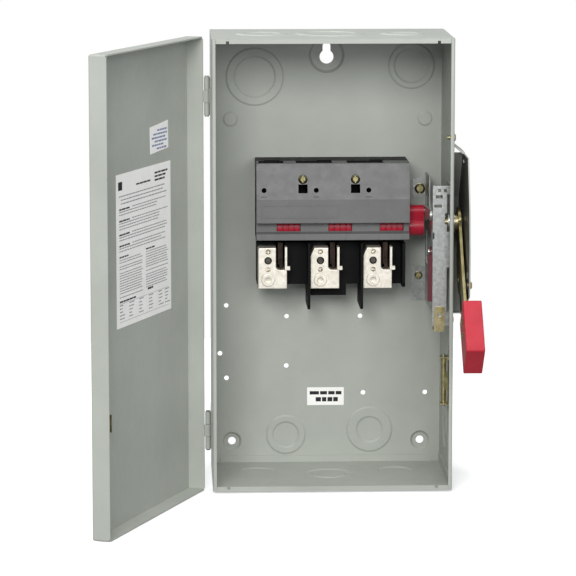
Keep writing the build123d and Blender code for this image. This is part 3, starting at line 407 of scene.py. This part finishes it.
def add_ring(bm, cx, czz, hw, hh, t, y0, y1, seg=28, power=3.2):
    """A block letter O: a squarish ring."""
    def loop(w, h, y):
        vs = []
        for i in range(seg):
            a = 2 * math.pi * i / seg
            c, q = math.cos(a), math.sin(a)
            x = math.copysign(abs(c) ** (2 / power), c) * w
            z = math.copysign(abs(q) ** (2 / power), q) * h
            vs.append(bm.verts.new(((cx + x) / 1000.0, y / 1000.0, cz(czz + z))))
        return vs
    of, ob = loop(hw, hh, y0), loop(hw, hh, y1)
    nf, nb = loop(hw - t * 1.15, hh - t, y0), loop(hw - t * 1.15, hh - t, y1)
    for i in range(seg):
        k = (i + 1) % seg
        bm.faces.new((of[i], of[k], nf[k], nf[i]))
        bm.faces.new((ob[i], nb[i], nb[k], ob[k]))
        bm.faces.new((of[i], ob[i], ob[k], of[k]))
        bm.faces.new((nf[i], nf[k], nb[k], nb[i]))


# front label: block letters, a plain red band and short plain lines
FX0, FX1, FZ0, FZ1 = 14.0, 76.0, 281.0, 459.0
FH = FZ1 - FZ0
YF0, YF1 = Y_DOOR_OUT * 1000 - 0.30 - 0.10, Y_DOOR_OUT * 1000 - 0.30 + 0.02
fz = lambda t: FZ1 - t * FH
fxm = 0.5 * (FX0 + FX1)
bm = bmesh.new()
LW = 17.0


def letter_n(z0, z1):
    t = 7.2
    add_poly(bm, [(fxm - LW, z0), (fxm - LW + t, z0), (fxm - LW + t, z1 - 7.0), (fxm + LW - t, z0),
                  (fxm + LW, z0), (fxm + LW, z1), (fxm + LW - t, z1), (fxm + LW - t, z0 + 7.0),
                  (fxm - LW + t, z1), (fxm - LW, z1)], YF0, YF1)


def letter_f(z0, z1):
    t = 7.4
    zm = 0.5 * (z0 + z1)
    add_poly(bm, [(fxm - LW + 1, z0), (fxm - LW + 1 + t, z0), (fxm - LW + 1 + t, zm - 2.9),
                  (fxm + LW - 5, zm - 2.9), (fxm + LW - 5, zm + 0.2), (fxm - LW + 1 + t, zm + 0.2),
                  (fxm - LW + 1 + t, z1 - 3.4), (fxm + LW - 1, z1 - 3.4), (fxm + LW - 1, z1),
                  (fxm - LW + 1, z1)], YF0, YF1)


for a, b in ((0.026, 0.118), (0.687, 0.776)):
    add_ring(bm, fxm, 0.5 * (fz(a) + fz(b)), LW, 0.5 * (fz(a) - fz(b)), 5.4, YF0, YF1)
letter_n(fz(0.223), fz(0.13))
letter_f(fz(0.871), fz(0.794))
letter_f(fz(0.974), fz(0.886))
for t0, h, w in ((0.246, 2.6, 0.74), (0.277, 2.6, 0.66), (0.308, 2.6, 0.80)):
    add_rect(bm, fxm - w * 28, fxm + w * 28, fz(t0) - h, fz(t0), YF0, YF1)
new_piece("front_label_letters", bm, M["print_white"], "door", True)
bm = bmesh.new()
add_rect(bm, FX0 + 0.3, FX1 - 0.3, fz(0.4375), fz(0.364), YF0, YF1)
new_piece("front_label_band", bm, M["print_red"], "door", True)
bm = bmesh.new()
zz = fz(0.462)
while zz > fz(0.665):
    x = FX0 + 5.0
    while x < FX1 - 7.0:
        w = rnd.uniform(3.0, 9.5)
        add_rect(bm, x, min(x + w, FX1 - 5.0), zz - 1.25, zz, YF0, YF1)
        x += w + 1.3
    zz -= rnd.choice((2.9, 2.9, 2.9, 4.6))
new_piece("front_label_lines", bm, M["print_mid"], "door", True)

# inner label: plain bars where a printed sheet has its heading, columns and table
IX0, IX1, IZ0, IZ1 = -89.0, 74.0, 226.0, 401.0
YI0, YI1 = Y_DOOR_IN * 1000 + 0.30 - 0.02, Y_DOOR_IN * 1000 + 0.30 + 0.10
IW, IH = IX1 - IX0, IZ1 - IZ0
dark, mid = bmesh.new(), bmesh.new()


def row(bmx, u0, u1, v, h, gap=1.1, words=(3.0, 10.0), short=0.0):
    """One line of word-like bars; u from the reading left, v from the top, as parts of the label."""
    x = IX1 - u0 * IW
    end = IX1 - (u1 - rnd.uniform(0, short)) * IW
    z = IZ1 - v * IH
    while x > end + 1.5:
        w = min(rnd.uniform(*words), x - end)
        add_rect(bmx, x - w, x, z - h, z, YI0, YI1)
        x -= w + gap


add_rect(dark, IX1 - 0.105 * IW, IX1 - 0.035 * IW, IZ1 - 0.105 * IH, IZ1 - 0.05 * IH, YI0, YI1)
for v in (0.048, 0.072, 0.096):
    row(dark, 0.70, 0.95, v, 2.1, 1.4, (5, 12), 0.08)
row(dark, 0.36, 0.62, 0.088, 1.9, 1.4, (6, 12))
for v in (0.142, 0.166, 0.19):
    row(mid, 0.05 if v < 0.15 else 0.08, 0.95, v, 1.2, 1.2, (3, 9), 0.3)
for blk, (v0, n) in enumerate(((0.225, 3), (0.30, 4), (0.39, 3), (0.462, 3))):
    row(dark, 0.05, 0.24, v0, 1.8, 1.2, (5, 11))
    for k in range(n):
        row(mid, 0.05 if k else 0.28, 0.96, v0 + 0.0185 * k, 1.0, 1.0, (2.5, 8.0), 0.25)
for c0, c1 in ((0.05, 0.47), (0.53, 0.95)):
    row(dark, c0, c0 + 0.16, 0.535, 1.7, 1.2, (5, 9))
    v = 0.556
    while v < 0.80:
        row(mid, c0, c1, v, 0.95, 0.9, (2.2, 7.0), 0.05)
        v += rnd.choice((0.0165, 0.0165, 0.0165, 0.026))
row(dark, 0.05, 0.34, 0.825, 1.9, 1.2, (6, 11))
row(dark, 0.56, 0.66, 0.80, 2.4, 1.0, (8, 12))
for v in (0.85, 0.872, 0.894, 0.916, 0.938):
    for u in (0.05, 0.22, 0.40, 0.58, 0.76, 0.88):
        row(mid, u, u + rnd.uniform(0.05, 0.10), v, 1.2, 0.8, (2.0, 5.0))
for v in (0.843, 0.962):
    add_rect(mid, IX1 - 0.95 * IW, IX1 - 0.05 * IW, IZ1 - v * IH - 0.35, IZ1 - v * IH, YI0, YI1)
new_piece("inner_label_headings", dark, M["print_dark"], "door", True)
new_piece("inner_label_lines", mid, M["print_grey"], "door", True)

# small label near the hinge
DX0 = -145.0
bm = bmesh.new()
for k, (u0, u1) in enumerate(((66, 96), (66, 108), (72, 113), (66, 104), (78, 112), (68, 98))):
    zt = 441.0 - 4.2 * k
    x = DX0 + u1
    while x > DX0 + u0:
        w = min(rnd.uniform(3, 9), x - DX0 - u0)
        add_rect(bm, x - w, x, zt - 2.0, zt, YI0, YI1)
        x -= w + 1.3
new_piece("small_label_lines", bm, M["print_blue"], "door", True)

# two dark lines on the small label on the back panel
bm = bmesh.new()
YB0, YB1 = Y_BACK_IN * 1000 - 0.30 - 0.10, Y_BACK_IN * 1000 - 0.30 + 0.02
for z1, z0, words in ((90.6, 86.4, (-20.3, -8.8, -7.4, 1.2, 2.8, 10.6, 12.0, 19.2)),
                      (83.0, 77.6, (-12.8, -6.3, -5.0, 0.4, 1.8, 7.8, 9.0, 14.7))):
    for a, b in zip(words[::2], words[1::2]):
        add_rect(bm, a, b, z0, z1, YB0, YB1)
new_piece("back_label_lines", bm, M["print_dark"], "case")
